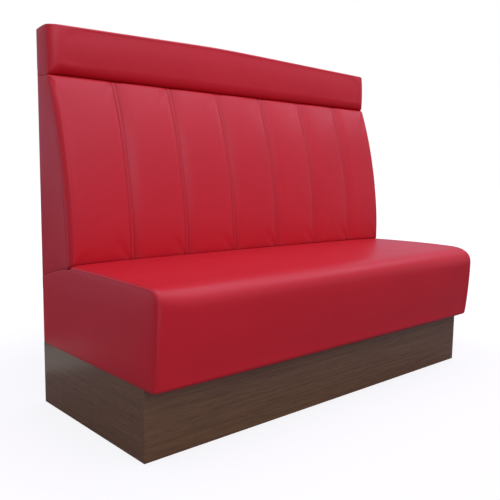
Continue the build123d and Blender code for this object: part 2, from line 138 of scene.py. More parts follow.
# Head roll
roll_rear_height = 1181
roll_rise = 14
roll_peak_x = -90
roll_peak_softness = 0.15
roll_top_slope = 0.1
roll_overhang = 3
roll_swell = 5
roll_taper = 5
roll_bulge = 3
roll_top_radius = (3, 8)
roll_top_bow = 1.5
roll_foot_radius = 42
roll_end_foot_radius = 9
roll_end_foot_reach = 40
roll_end_foot_power = 1.5
roll_end_reach = 32
roll_end_depth = 16
roll_under_end = 22.5
roll_rear_foot = 1061
roll_shelf_front = 41.2
roll_shelf_top = 1059.5
roll_board_front = 13.5
roll_board_top = 1166.5

# Sewing. A tone is how dark the painted shade in a seam or crease is, from 0 to 1, and a reach is how far
# that painted shade fades into the cover.
seam_gap = 0.3
seam_shade_reach = 1.1
end_seam_shade = 0.08
end_turn_shade_fade = 8
channel_left_seam_shade = (0.85, 2.2)
channel_right_seam_shade = (0.35, 1.6)
strip_edge_shades = (0.3, 0.8)
foot_crease_shade = 0.9
crease_shade_rows = 1.5
clear = 0.3
panel_back = 748.2
cushion_end = panel_back - clear
crown_power = 6
column_steps = (0.35, 1.35, 11)
row_proud = 0.15
stitch_row = {"Pitch": 5.2 * mm, "Length": 3.9 * mm, "Thickness": 0.95 * mm, "Rounded": True,
              "Crookedness": 0.04, "Seed": 3}
stitch_from_end = 7.5
stitch_on_strip = 0.8
stitched_rows = slice(3, -3)
staple_row = {"Pitch": 42 * mm, "Length": 10 * mm, "Thickness": 0.8 * mm, "Rounded": False,
              "Crookedness": 0.12, "Seed": 5}
staple_inset = 9


# Small helpers for shapes

def to_scene(points):
    """Places in (x, depth, height) millimetres as metres in the row frame."""
    points = np.asarray(points, dtype=float)
    return np.stack([points[..., 0], rear_y - points[..., 1], points[..., 2]], axis=-1) * mm


def shares(count):
    """Shares of the way from 0 up to 1, without 1, as a column."""
    return np.linspace(0, 1, count, endpoint=False)[:, None]


def line(start, end, count):
    """Points from start towards end, without the end."""
    share = shares(count)
    return np.array(start) * (1 - share) + np.array(end) * share


def round_corner(start, corner, end, count):
    """A quarter round from start to end inside the square corner, without the end."""
    turn = shares(count) * math.pi / 2
    start, corner, end = (np.array(point) for point in (start, corner, end))
    centre = start + end - corner
    return centre + (start - centre) * np.cos(turn) + (end - centre) * np.sin(turn)


def curve(points, count):
    """A cubic curve from the first of four points to the last, without the last."""
    a, b, c, d = (np.array(point) for point in points)
    share = shares(count)
    rest = 1 - share
    return a * rest ** 3 + 3 * b * rest ** 2 * share + 3 * c * rest * share ** 2 + d * share ** 3


def bow(start, end, rise, count):
    """A shallow bow from start to end, without the end. It bulges to the left of its way by rise."""
    share = shares(count)
    along = np.array(end) - np.array(start)
    across = np.array([-along[1], along[0]]) / np.hypot(*along)
    return line(start, end, count) + across * rise * 4 * share * (1 - share)


def spaced(total, first, growth, pitch):
    """Distances from 0 to total whose steps grow from first up to pitch."""
    last_step = 0.6 * pitch
    places, step = [0.0], first
    while places[-1] + step < total - last_step:
        places.append(places[-1] + step)
        step = min(step * growth, pitch)
    return np.array(places + [total])


def path_length(points):
    """Distance along a path at each of its points."""
    return np.concatenate([[0], np.cumsum(np.linalg.norm(np.diff(points, axis=0), axis=1))])


def path_starts(counts):
    """Index in a side path at which each of its stretches starts, and its end."""
    return dict(zip([*counts, "end"], [0, *np.cumsum(list(counts.values())).tolist()]))


def end_round_share(t, radius):
    """How far a rounded end is drawn in at distance t from it, from 1 at the end to 0."""
    t = min(t, radius)
    return 1 - math.sqrt(1 - ((radius - t) / radius) ** 2)


def softened(t, sizes):
    """A size at distance t from the end, from its end value to its value away from the end."""
    return sizes[1] + (sizes[0] - sizes[1]) * math.exp(-t / soften_reach)


def crown_share(t):
    """How full the padding is at distance t from the end, from 0 to 1 at mid length."""
    return 1 - (1 - min(t, half) / half) ** crown_power


def hermite(field, old, new):
    """Carries a field along its first axis from the places old to the places new on a smooth curve."""
    slope = np.gradient(field, old, axis=0)
    index = np.clip(np.searchsorted(old, new, side="right") - 1, 0, len(old) - 2)
    span = (old[index + 1] - old[index])[:, None, None]
    share = (new - old[index])[:, None, None] / span
    a, b = field[index], field[index + 1]
    slope_a, slope_b = slope[index] * span, slope[index + 1] * span
    square, cube = share ** 2, share ** 3
    return (
        a * (2 * cube - 3 * square + 1) + slope_a * (cube - 2 * square + share)
        + b * (3 * square - 2 * cube) + slope_b * (cube - square)
    )


# Mesh builders

def new_object(name, data):
    """An object in the scene that shows the given data."""
    holder = bpy.data.objects.new(name, data)
    bpy.context.collection.objects.link(holder)
    return holder


def make_object(name, vertices, faces, seam=None):
    """A smooth mesh object from places in metres. Its seam attribute, the painted shade that darkens the
    vinyl's colour, is 1 in a seam and 0 away from it.
    """
    mesh = bpy.data.meshes.new(name)
    mesh.from_pydata([tuple(v) for v in vertices], [], faces)
    mesh.validate()
    mesh.polygons.foreach_set("use_smooth", [True] * len(mesh.polygons))
    if seam is not None:
        attribute = mesh.attributes.new("seam", "FLOAT", "POINT")
        attribute.data.foreach_set("value", np.asarray(seam, dtype=np.float32))
    return new_object(name, mesh)


def grid_faces(rows, columns, offset=0, flip=False):
    """Quads of a grid of vertices that is stored row by row."""
    index = np.arange(rows * columns).reshape(rows, columns) + offset
    quads = np.stack([index[:-1, :-1], index[1:, :-1], index[1:, 1:], index[:-1, 1:]], axis=-1)
    quads = quads.reshape(-1, 4)
    return (quads[:, ::-1] if flip else quads).tolist()


def grid_shell(name, outer, inner, seam):
    """A closed piece between an outer and an inner grid of places with the same rows and columns."""
    rows, columns = outer.shape[:2]
    size = rows * columns
    vertices = np.concatenate([to_scene(outer).reshape(-1, 3), to_scene(inner).reshape(-1, 3)])
    faces = grid_faces(rows, columns) + grid_faces(rows, columns, size, flip=True)
    index = np.arange(size).reshape(rows, columns)
    rim = np.concatenate([index[0, :-1], index[:-1, -1], index[-1, :0:-1], index[:0:-1, 0]])
    around = np.roll(rim, -1)
    faces += np.stack([rim, around, around + size, rim + size], axis=-1).tolist()
    piece = make_object(name, vertices, faces, np.concatenate([seam.ravel(), np.zeros(size)]))
    face_outwards(piece)
    return piece


def face_outwards(piece):
    """Turns a closed mesh's faces outwards: its signed volume is made positive."""
    mesh = piece.data
    mesh.calc_loop_triangles()
    corners = ([mesh.vertices[i].co for i in triangle.vertices] for triangle in mesh.loop_triangles)
    if sum(a.dot(b.cross(c)) for a, b, c in corners) < 0:
        mesh.flip_normals()


def offset_loop(loop, distance):
    """A closed counterclockwise outline drawn in by distance, by no more than twice that at a corner."""
    ahead = np.roll(loop, -1, axis=0) - loop
    ahead /= np.linalg.norm(ahead, axis=1)[:, None]
    behind = np.roll(ahead, 1, axis=0)
    normal = np.stack([-(ahead + behind)[:, 1], (ahead + behind)[:, 0]], axis=1)
    normal /= np.linalg.norm(normal, axis=1)[:, None]
    across = np.stack([-ahead[:, 1], ahead[:, 0]], axis=1)
    return loop + normal * distance / np.clip((normal * across).sum(axis=1), 1 / 2, 1)[:, None]


def distance_to_loop(points, loop):
    """Distance from each point to the nearest stretch of a closed outline, and whether it is inside."""
    start, end = loop, np.roll(loop, -1, axis=0)
    along = end - start
    away = points[:, None] - start
    share = np.clip((away * along).sum(axis=2) / (along ** 2).sum(axis=1), 0, 1)
    distance = np.linalg.norm(away - share[..., None] * along, axis=2).min(axis=1)
    rises = (start[:, 1] > points[:, 1:2]) != (end[:, 1] > points[:, 1:2])
    with np.errstate(divide="ignore", invalid="ignore"):
        cross_x = start[:, 0] + (points[:, 1:2] - start[:, 1]) * along[:, 0] / along[:, 1]
    inside = (rises & (points[:, 0:1] < cross_x)).sum(axis=1) % 2 == 1
    return distance, inside


# The end panels' meshes: rings at these places inside the edge, and a flat grid. The cover falls by the
# last row of sizes at the places before it: down into the seam at its edge, proud in the middle.
panel_rings = (0.4, 1.0, 2.6, 6.0)
panel_pitch = 14
panel_margin = 0.75 * panel_pitch
panel_fall_places = (0.0, 0.4, 1.0, 2.6, 6.0, 14.0, 60.0)
panel_falls = (0.35, 0.1, -0.05, -0.35, -0.9, -1.8, -3.5)
same_place = 1e-5


def end_panel(name, loop, side):
    """A flat cover over the thin pad at one end, inside a closed counterclockwise outline. Its edge turns
    down into the seam all round."""
    rings = [offset_loop(loop, place) for place in panel_rings]
    low, high = loop.min(axis=0), loop.max(axis=0)
    across = np.meshgrid(*(np.arange(low[i], high[i], panel_pitch) for i in (0, 1)))
    grid = np.stack([axis.ravel() for axis in across], axis=1)
    distance, inside = distance_to_loop(grid, loop)
    grid = grid[inside & (distance > panel_margin)]
    points = np.concatenate([loop, *rings, grid])
    edges = [(i, (i + 1) % len(loop)) for i in range(len(loop))]
    flat, _, triangles, *_ = delaunay_2d_cdt([Vector(p) for p in points], edges, [], 1, same_place)
    flat = np.array([tuple(p) for p in flat])
    distance = distance_to_loop(flat, loop)[0]
    fall = np.interp(distance, panel_fall_places, panel_falls)
    front = np.column_stack([side * (half - fall), flat])
    back = np.column_stack([np.full(len(loop), side * panel_back), loop])
    count, rim = len(flat), len(loop)
    faces = [list(t) for t in triangles]
    faces.append([count + i for i in reversed(range(rim))])
    faces += [[(i + 1) % rim, i, count + i, count + (i + 1) % rim] for i in range(rim)]
    # Painted shade: the cover darkens slightly towards its seam edge.
    seam = np.concatenate([end_seam_shade * np.exp(-distance / seam_shade_reach), np.zeros(rim)])
    piece = make_object(name, to_scene(np.concatenate([front, back])), faces, seam)
    face_outwards(piece)
    return piece


# Cushions: each is a grid of columns along its length, whose rows follow its side path. The end groove
# holds places in from the end, each with how far the cover is drawn in there.

end_groove = ((0.6, 0.3), (0.2, 0.12))


def cushion_columns():
    """Columns along the length: place from the middle, distance from the end, and inset."""
    near = [(place, 0.0, inset) for place, inset in end_groove]
    near += [(t, t, 0.0) for t in spaced(half, *column_steps)]
    left = [(place - half, t, inset) for place, t, inset in near]
    right = [(half - place, t, inset) for place, t, inset in reversed(near[:-1])]
    return left + right


def column_pair(x, outer, inner):
    """A column's outer and inner places. The inner ones end short of the end panels."""
    inner_x = np.clip(x, -cushion_end, cushion_end)
    return [np.column_stack([np.full(len(side), at), side]) for at, side in ((x, outer), (inner_x, inner))]


def inner_section(keys):
    """The inner side of a cushion's section: a place at each key index, and even steps between."""
    indices, places = zip(*keys)
    return np.stack([np.interp(range(indices[-1] + 1), indices, axis) for axis in zip(*places)], axis=1)


def cushion_grids(path_at, section):
    """A cushion's outer grid, its inner grid and its seam tones, which are painted shade at the end seams."""
    pairs, seam = [], []
    for x, t, inset in cushion_columns():
        path = path_at(x, t, inset)
        pairs.append(column_pair(x, path, section))
        # Painted shade: the end groove columns get the full end seam shade, the others less with distance
        # from the end.
        fade = math.exp(-t / seam_shade_reach) if inset == 0 else 1.0
        seam.append(np.full(len(path), end_seam_shade * fade))
    outer, inner = zip(*pairs)
    return np.array(outer), np.array(inner), np.array(seam)


# Seat cushion

seat_counts = {"tail": 4, "corner": 4, "ramp": 16, "wall": 3, "crease": 6, "top": 40, "nose": 24,
               "front": 22, "foot": 7, "under": 5}
seat_start = path_starts(seat_counts)


def ramp_at(d, bulge=0.0):
    """Height of the ramp under the back at a depth, bulged where the end padding lifts it."""
    straight = ramp_rear_height + (ramp_front_height - ramp_rear_height) * d / back_foot_depth
    return straight + bulge * math.sin(math.pi * min(max(d / back_foot_depth, 0), 1))


def seat_path(x, t, inset):
    """The seat cover's side path at distance t from the end, from the rear turn to the turn under."""
    drawn, full = end_round_share(t, seat_end_reach), crown_share(t)
    end = 2 if x > 0 else 0
    nose_sizes = (nose_reach, nose_drop, nose_fall)
    reach, drop, fall = (softened(t, (sizes[end], sizes[1])) for sizes in nose_sizes)
    foot_radius, sag = softened(t, foot_round), softened(t, foot_sag)
    rise = (right_rise if x > 0 else left_rise) * abs(x) / half
    top = seat_edge_height + rise + seat_crown * full - seat_edge_round * drawn - inset
    nose = seat_depth - nose_swell * (1 - full) - seat_end_depth * drawn - inset
    foot = seat_foot + inset
    low, front = foot - sag, nose - front_rake
    crease, rear = back_foot_depth + inset, inset + rear_corner_radius
    ramp_end, corner = ramp_at(back_foot_depth) - inset, ramp_at(rear) - inset
    fall_back = crease_fall + (right_crease_fall - crease_fall) * max(x / half, 0)
    wall_top = max(top - fall_back, ramp_end + wall_least)
    crease_round = min(crease_radius, crease_round_share * (wall_top - ramp_end))
    count = seat_counts
    ramp = line((rear, corner), (crease, ramp_end), count["ramp"])
    bulge = ramp_bulge * max(0.0, 1 - t / ramp_bulge_reach)
    ramp[:, 1] += [ramp_at(d, bulge) - ramp_at(d) for d in ramp[:, 0]]
    wall_end, rear_end = (crease, wall_top - crease_round), np.array([crease + crease_round, wall_top])
    nose_start, nose_end = np.array([nose - reach, top - fall]), np.array([nose, top - fall - drop])
    ahead = (nose_start - rear_end) / 3
    rear_turn_out = rear_end + ahead + (0, top_lift * fall)
    tip = ahead * (1, 0) - (0, top_dip * fall)
    turn_in = nose_start + tip * nose_turn * reach / ahead[0]
    turn_down = nose_end + (0, nose_lower_turn * drop)
    front_end, under_start = (front, low + foot_radius), (front - foot_radius, low)
    under_end = (plinth_front + clear, foot)
    return np.concatenate([
        line((inset, ramp_rear_height - rear_turn), (inset, corner - rear_corner_radius), count["tail"]),
        round_corner((inset, corner - rear_corner_radius), (inset, corner), ramp[0], count["corner"]),
        ramp,
        line((crease, ramp_end), wall_end, count["wall"]),
        round_corner(wall_end, (crease, wall_top), rear_end, count["crease"]),
        curve((rear_end, rear_turn_out, nose_start - tip, nose_start), count["top"]),
        curve((nose_start, turn_in, turn_down, nose_end), count["nose"]),
        bow(nose_end, front_end, front_bulge, count["front"]),
        round_corner(front_end, (front, low), under_start, count["foot"]),
        line(under_start, under_end, count["under"] - 1),
        [under_end],
    ])


def seat_inner():
    """The seat cushion's inner side, matched to its path: just clear of the boards."""
    start, front, deck = seat_start, seat_board_front + clear, deck_top + clear
    wall, foot = back_foot_depth + 2 * clear + board_gap, seat_foot + board_gap
    return inner_section([
        (0, (board_gap, ramp_rear_height - rear_turn)),
        (start["ramp"], (board_gap, ramp_at(board_gap) - board_gap)),
        (start["wall"], (wall, ramp_at(back_foot_depth) - board_gap)),
        (start["top"], (wall, deck)),
        (start["nose"] + seat_counts["nose"] // 2, (front, deck)),
        (start["foot"] + seat_counts["foot"] // 2, (front, foot)),
        (start["end"] - 1, (plinth_front + clear, foot)),
    ])


def seat_grids():
    outer, inner, seam = cushion_grids(seat_path, seat_inner())
    # Painted shade along the crease under the back: full at the crease row, fading over a few rows.
    along = np.abs(np.arange(outer.shape[1]) - seat_start["crease"])
    return outer, inner, np.maximum(seam, np.exp(-along / crease_shade_rows))


def side_outline(path, foot_count, rear_count):
    """The counterclockwise outline that a side path closes with its foot and its rear edge."""
    corner = (seam_gap, path[-1][1])
    foot, rear = line(path[-1], corner, foot_count), line(corner, path[0], rear_count)
    return np.concatenate([path[:-1], foot, rear])[::-1]


def seat_side_outline(side):
    """The seat's end panel, with its foot on the plinth's line."""
    path = seat_path(side * half, 0.0, seam_gap)[seat_start["corner"]:seat_start["under"] + 1]
    return side_outline(path, foot_count=50, rear_count=20)


# Back

back_set_back = back_foot_depth - back_top_depth
back_climb = back_top_height - ramp_front_height
back_away = back_set_back * math.cos(back_foot_lean) - back_climb * math.sin(back_foot_lean)
face_radius = (back_set_back ** 2 + back_climb ** 2) / (2 * back_away)
arc_depth = back_foot_depth - face_radius * math.cos(back_foot_lean)
arc_height = ramp_front_height - face_radius * math.sin(back_foot_lean)
back_top = back_top_height - clear
back_face_climb = back_top - ramp_front_height


def belly_share(z):
    """How full the back's padding is at a height: 0 at the foot and the top, nearly 1 between."""
    share = np.clip((z - ramp_front_height) / back_face_climb, 0, 1)
    return 1 - (2 * share - 1) ** belly_power


def face_depth(z, rise=0.0):
    """Depth of the back's face at a height, or of a surface that stands above it by rise."""
    arc = np.sqrt((face_radius + rise) ** 2 - (z - arc_height) ** 2)
    return arc_depth + arc + back_belly * belly_share(z)


def end_seam_setback(z):
    """How far the seam at the back's end lies behind the face: nothing at the top, most at the foot."""
    share = np.clip((z - ramp_front_height) / (end_seam_top - ramp_front_height), 0, 1)
    belly = end_seam_belly * back_belly * belly_share(z)
    return end_seam_least + end_seam_drop * (1 - share ** end_seam_power) + belly


# The felled strip's section: shares of its width, and heights over the left channel's edge. It stands up
# from that edge, bows a little over its two plies, and drops to the seam at its right.
strip_section = ((0.02, -0.3), (0.06, 0.5), (0.12, 1.4), (0.2, 2.0), (0.32, 2.4), (0.46, 2.6), (0.6, 2.6),
                 (0.72, 2.3), (0.82, 1.5), (0.9, 0.2), (0.96, -1.6))


def end_turn_columns(end, inward):
    """The columns that turn round the end of the back, from the seam's groove to the face."""
    columns = [(end + inward * place, 0.0, end_seam_shade, 1.0, inset) for place, inset in end_groove]
    for turn in np.linspace(0, math.pi / 2, end_turn_points + 1)[:-1]:
        x = end + inward * end_turn_width * (1 - math.cos(turn))
        raised = math.sin(turn)
        # Painted shade in the end seam fades as the cover turns towards the face.
        tone = end_seam_shade * math.exp(-end_turn_shade_fade * raised)
        columns.append((x, -channel_crown * (1 - raised), tone, 1 - raised, 0.0))
    return columns


def shoulder(seam_x, inward, width, depth, seam):
    """The columns of a channel's rounded edge, from its seam to where its face begins."""
    tone, reach = seam
    columns = []
    for t in spaced(width, *shoulder_steps)[:-1]:
        drop = depth * (1 - t / width) ** shoulder_power
        # Painted shade next to the seam, fading across the shoulder.
        columns.append((seam_x + inward * t, -channel_crown - drop, tone * math.exp(-t / reach), 0.0, 0.0))
    return columns


def strip_columns(left):
    """The columns over a felled strip, from the seam at its left to the one at its right."""
    columns = []
    for share, height in strip_section:
        away = (share * strip_width, (1 - share) * strip_width)
        # Painted shade at the strip's two edges, where it meets the seams.
        tone = max(most * math.exp(-t) for most, t in zip(strip_edge_shades, away))
        columns.append((left + share * strip_width, height - channel_crown - strip_depth, tone, 0.0, 0.0))
    return columns


def back_columns():
    """Columns across the back: x, rise over the face, seam tone (painted shade), share of the end turn, and
    inset.
    """
    width = 2 * half / channel_count
    edges = [-half, *(index * width - half + seam_shift for index in range(1, channel_count)), half]
    columns = end_turn_columns(-half, 1)
    for index, (left, right) in enumerate(zip(edges, edges[1:])):
        first, last = index == 0, index == channel_count - 1
        seam_right = right if last else right - strip_width
        face_left = left + (end_turn_width if first else left_shoulder)
        face_right = seam_right - (end_turn_width if last else right_shoulder)
        if not first:
            columns += shoulder(left, 1, left_shoulder, seam_depth, channel_left_seam_shade)
        for x in np.linspace(face_left, face_right, face_points):
            share = (x - face_left) / (face_right - face_left)
            columns.append((x, -channel_crown * (2 * share - 1) ** 2, 0.0, 0.0, 0.0))
        if not last:
            columns += shoulder(seam_right, -1, right_shoulder, strip_depth, channel_right_seam_shade)[::-1]
            columns += strip_columns(seam_right)
    return columns + end_turn_columns(half, -1)[::-1]


def back_rows():
    """Shares of the way up the back, close together at the foot and the top."""
    steps = spaced(back_face_climb / 2, *row_steps)
    return np.concatenate([steps, back_face_climb - steps[-2::-1]]) / back_face_climb


def edge_fall(distance, radius):
    """How far a rounded edge falls at a distance from it."""
    away = np.clip(radius - distance, 0, radius)
    return radius - np.sqrt(radius ** 2 - away ** 2)


def back_grids():
    rows = back_rows()
    up = rows * back_face_climb
    foot_falls = edge_fall(up, bottom_edge_radius)
    top_falls = edge_fall((1 - rows) * back_face_climb, top_edge_radius)
    pairs, seam = [], []
    for x, rise, tone, turn, inset in back_columns():
        rises = rise - top_falls - (1 - turn) * foot_falls
        bulge = ramp_bulge * min(1, ramp_meet * turn)
        z = ramp_front_height + up
        d = face_depth(z, rises) - turn * end_seam_setback(z) - inset
        foot = np.array([ramp_at(min(depth, back_foot_depth), bulge) for depth in d])
        z = foot + clear + rows * (back_top - foot - clear)
        d = face_depth(z, rises) - turn * end_seam_setback(z) - inset
        behind = face_depth(z, clear - back_padding)
        behind = behind + turn * np.clip(d + inset - behind, 0, None)
        pairs.append(column_pair(x, np.stack([d, z], axis=1), np.stack([behind, z], axis=1)))
        # Painted shade along the crease at the back's foot, fading upwards, where it is darker than the
        # seam's.
        seam.append(np.maximum(tone, foot_crease_shade * np.exp(-up / crease_shade_reach)))
    outer, inner = zip(*pairs)
    return np.array(outer), np.array(inner), np.array(seam)


back_outline_counts = {"foot": 24, "front": 70, "top": 10, "rear": 60}


def back_side_outline():
    """The back's end panel: ramp, curved end seam, the line under the head roll and rear edge."""
    count = back_outline_counts
    z = np.linspace(ramp_front_height, back_top, count["front"])
    front = np.stack([face_depth(z) - end_seam_setback(z) - seam_gap, z], axis=1)
    foot_end = front[0, 0]
    front[0, 1] = ramp_at(foot_end, ramp_bulge) + clear
    front = front[front[:, 1] >= front[0, 1]]
    depths = np.linspace(seam_gap, foot_end, count["foot"])
    foot = np.array([(d, ramp_at(d, ramp_bulge) + clear) for d in depths])
    corner = (seam_gap, back_top)
    top, rear = line(front[-1], corner, count["top"]), line(corner, foot[0], count["rear"])
    return np.concatenate([foot[:-1], front[:-1], top, rear])


# Head roll

roll_counts = {"rear": 12, "corner": 4, "top": 8, "round": 9, "front": 18, "lip": 14, "under": 6}
roll_start = path_starts(roll_counts)


def roll_top_rise(x):
    """The head roll's padding is fullest a little left of the middle and falls away to both ends."""
    reach = half + roll_peak_x if x < roll_peak_x else half - roll_peak_x
    fall, most = (math.hypot(share, roll_peak_softness) - roll_peak_softness
                  for share in (abs(x - roll_peak_x) / reach, 1))
    return max(roll_rise * (1 - fall / most), 0.0)


def roll_path(x, t, inset):
    """The head roll cover's side path: up the rear, over the top, down the front and under."""
    drawn, full = end_round_share(t, roll_end_reach), crown_share(t)
    front_foot = back_top_depth + roll_overhang + roll_swell * full - roll_end_depth * drawn - inset
    front_top, foot = front_foot - roll_taper, back_top_height + inset
    rear_top, rear = roll_rear_height + roll_top_rise(x) - inset, inset + rear_corner_radius
    top_radius = softened(t, roll_top_radius)
    top = rear_top + roll_top_slope * (front_top - top_radius)
    near_end = max(0.0, 1 - t / roll_end_foot_reach) ** roll_end_foot_power
    foot_round = roll_foot_radius + (roll_end_foot_radius - roll_foot_radius) * near_end
    rear_end, top_end = (inset, rear_top - rear_corner_radius), (front_top - top_radius, top)
    front_start, front_end = (front_top, top - top_radius), (front_foot, foot + foot_round)
    under_start, under_end = (front_foot - foot_round, foot), (roll_under_end, foot)
    count = roll_counts
    return np.concatenate([
        line((inset, roll_rear_foot), rear_end, count["rear"]),
        round_corner(rear_end, (inset, rear_top), (rear, rear_top), count["corner"]),
        bow((rear, rear_top), top_end, roll_top_bow, count["top"]),
        round_corner(top_end, (front_top, top), front_start, count["round"]),
        bow(front_start, front_end, roll_bulge, count["front"]),
        round_corner(front_end, (front_foot, foot), under_start, count["lip"]),
        line(under_start, under_end, count["under"] - 1),
        [under_end],
    ])


def roll_inner():
    """The inner side of the head roll's section: round its board and shelf."""
    start, board, shelf = roll_start, roll_board_front + clear, roll_shelf_front + clear
    board_top, shelf_top, foot = roll_board_top + clear, roll_shelf_top + clear, back_top_height + board_gap
    return inner_section([
        (0, (board_gap, roll_rear_foot)),
        (start["corner"], (board_gap, board_top)),
        (start["top"] + 3, (board, board_top)),
        (start["front"], (board, shelf_top)),
        (start["lip"] - 3, (shelf, shelf_top)),
        (start["under"], (shelf, foot)),
        (start["end"] - 1, (roll_under_end, foot)),
    ])


def roll_grids():
    return cushion_grids(roll_path, roll_inner())


def roll_side_outline():
    path = roll_path(-half, 0.0, seam_gap)[roll_start["corner"]:]
    return side_outline(path, foot_count=5, rear_count=16)


# Cloth simulation. Each cover's pressure, and the most that it moves, in millimetres.

cloth_frames = 20
cloth_settings = {"quality": 6, "mass": 0.4, "tension_stiffness": 25, "compression_stiffness": 25,
                  "shear_stiffness": 15, "bending_stiffness": 1.5, "use_pressure": True}
seat_cloth = (0.15, 3.0)
roll_cloth = (0.3, 2.2)
back_cloth = (4.0, 2.0)
cushion_pitch = 9
back_pitch = 8
thinned_row_pitch = 8
held_tone = 0.2
kept_tone = 0.75
roll_held_to = roll_start["corner"] + 2
roll_held_from = roll_start["lip"] + 9
seat_held_from = seat_start["foot"] + 3
least_length = 1e-6


def settle(covers):
    """Lets covers swell as cloth under pressure, held at their seams. Each cover is its grid, its held
    points and its cloth values. Returns how far each point moved, in millimetres."""
    scene = bpy.context.scene
    pieces = []
    for grid, held, (pressure, _) in covers:
        piece = make_object("cloth_test", to_scene(grid).reshape(-1, 3), grid_faces(*grid.shape[:2]))
        group = piece.vertex_groups.new(name="held")
        group.add(np.flatnonzero(held).tolist(), 1.0, "REPLACE")
        cloth = piece.modifiers.new("Cloth", "CLOTH")
        for name, value in cloth_settings.items():
            setattr(cloth.settings, name, value)
        cloth.settings.uniform_pressure_force = pressure
        cloth.settings.vertex_group_mass = "held"
        cloth.settings.effector_weights.gravity = 0
        cloth.point_cache.frame_start, cloth.point_cache.frame_end = 1, cloth_frames
        pieces.append(piece)
    for step in range(1, cloth_frames + 1):
        scene.frame_set(step)
    moves = []
    depsgraph = bpy.context.evaluated_depsgraph_get()
    for piece, (grid, _, (_, cap)) in zip(pieces, covers):
        mesh = piece.evaluated_get(depsgraph).to_mesh()
        places = np.zeros(len(mesh.vertices) * 3)
        mesh.vertices.foreach_get("co", places)
        move = places.reshape(grid.shape) - to_scene(grid)
        move = move * (1, -1, 1) / mm
        length = np.linalg.norm(move, axis=-1, keepdims=True)
        moves.append(move * cap * np.tanh(length / cap) / np.clip(length, least_length, None))
        bpy.data.objects.remove(piece)
    scene.frame_set(1)
    return moves


def picked(places, pitch, kept=()):
    """Indices of places at least a pitch apart, with the first, the last and the kept ones."""
    chosen = [0]
    for index in range(1, len(places)):
        if index in kept or abs(places[index] - places[chosen[-1]]) >= pitch:
            chosen.append(index)
    if chosen[-1] != len(places) - 1:
        chosen.append(len(places) - 1)
    return np.array(chosen)


def thinned(grid, columns, held_columns, held_rows):
    """A cover's grid thinned for the simulation, the points of it that are held, and what was picked."""
    rows = picked(path_length(grid[len(grid) // 2]), thinned_row_pitch)
    held = np.isin(columns, held_columns)[:, None] | np.isin(rows, held_rows)
    return grid[np.ix_(columns, rows)], held, (columns, rows)


def carry(move, picks, shape):
    """Spreads the simulated move over the whole grid on smooth curves."""
    columns, rows = picks
    wide = hermite(move, columns.astype(float), np.arange(shape[0], dtype=float))
    tall = hermite(wide.transpose(1, 0, 2), rows.astype(float), np.arange(shape[1], dtype=float))
    return tall.transpose(1, 0, 2)


def swell_cushions(seat, back, roll):
    """Runs the three cushions' covers through the cloth simulation together."""
    covers = []
    for grid, start, foot, cloth in (
        (seat[0], seat_start["top"], seat_held_from, seat_cloth),
        (roll[0], roll_held_to, roll_held_from, roll_cloth),
    ):
        rows = [*range(start), *range(foot, grid.shape[1])]
        columns = picked(grid[:, 0, 0], cushion_pitch)
        covers.append((*thinned(grid, columns, [0, len(grid) - 1], rows), cloth))
    grid, _, tones = back
    tones = tones[:, tones.shape[1] // 2]
    count, height = grid.shape[:2]
    ends = [0, 1, count - 2, count - 1]
    seams = ends + [i for i in range(count) if tones[i] > held_tone]
    columns = picked(grid[:, 0, 0], back_pitch, ends + [i for i in seams if tones[i] > kept_tone])
    covers.append((*thinned(grid, columns, seams, [0, 1, height - 2, height - 1]), back_cloth))
    moves = settle([(grid, held, cloth) for grid, held, _, cloth in covers])
    swollen = []
    for (outer, inner, tones), (_, _, picks, _), move in zip((seat, roll, back), covers, moves):
        swollen.append((outer + carry(move, picks, outer.shape), inner, tones))
    return swollen


# Materials

def linear(hex_colour):
    """An sRGB hex colour as linear red, green, blue and alpha."""
    parts = [int(hex_colour[i:i + 2], 16) / 255 for i in (1, 3, 5)]
    return tuple(c / 12.92 if c <= 0.04045 else ((c + 0.055) / 1.055) ** 2.4 for c in parts) + (1.0,)


def add(tree, kind, inputs=None, stops=(), **settings):
    """Adds a node and sets its properties, its (place, hex colour) stops and its inputs, by name or
    number. An input given a socket, or a node for its first output, is linked to it."""
    node = tree.nodes.new(kind)
    for name, value in settings.items():
        setattr(node, name, value)
    for name, value in (inputs or {}).items():
        if isinstance(value, bpy.types.Node):
            value = value.outputs[0]
        if isinstance(value, bpy.types.NodeSocket):
            tree.links.new(value, node.inputs[name])
        else:
            node.inputs[name].default_value = value
    if stops:
        elements = node.color_ramp.elements
        while len(elements) < len(stops):
            elements.new(0.5)
        for element, (place, hex_colour) in zip(elements, stops):
            element.position, element.color = place, linear(hex_colour)
    return node


def new_material(name):
    """An empty node material, its tree, and the coordinates of the object that wears it."""
    material = bpy.data.materials.new(name)
    material.use_nodes = True
    tree = material.node_tree
    tree.nodes.clear()
    return material, tree, add(tree, "ShaderNodeTexCoord").outputs["Object"]


def mottled(tree, place, size, detail, stops, **inputs):
    """Soft noise of a size in millimetres, and the colours that it runs through."""
    inputs.update(Vector=place, Scale=1 / (size * mm), Detail=detail)
    noise = add(tree, "ShaderNodeTexNoise", inputs)
    return noise, add(tree, "ShaderNodeValToRGB", {"Fac": noise}, stops)


def grained(tree, place, sizes, detail, stops, along_x=True, **inputs):
    """Noise with a size along the grain and one across it, and the colours that it runs through."""
    run, across = (1 / (size * mm) for size in sizes)
    scale = (run, across, across) if along_x else (across, run, across)
    stretched = add(tree, "ShaderNodeMapping", {"Vector": place, "Scale": scale})
    return mottled(tree, stretched, 1 / mm, detail, stops, **inputs)


def surfaced(material, inputs):
    """Gives a material its shader."""
    tree = material.node_tree
    shader = add(tree, "ShaderNodeBsdfPrincipled", inputs)
    add(tree, "ShaderNodeOutputMaterial", {"Surface": shader})
    return material


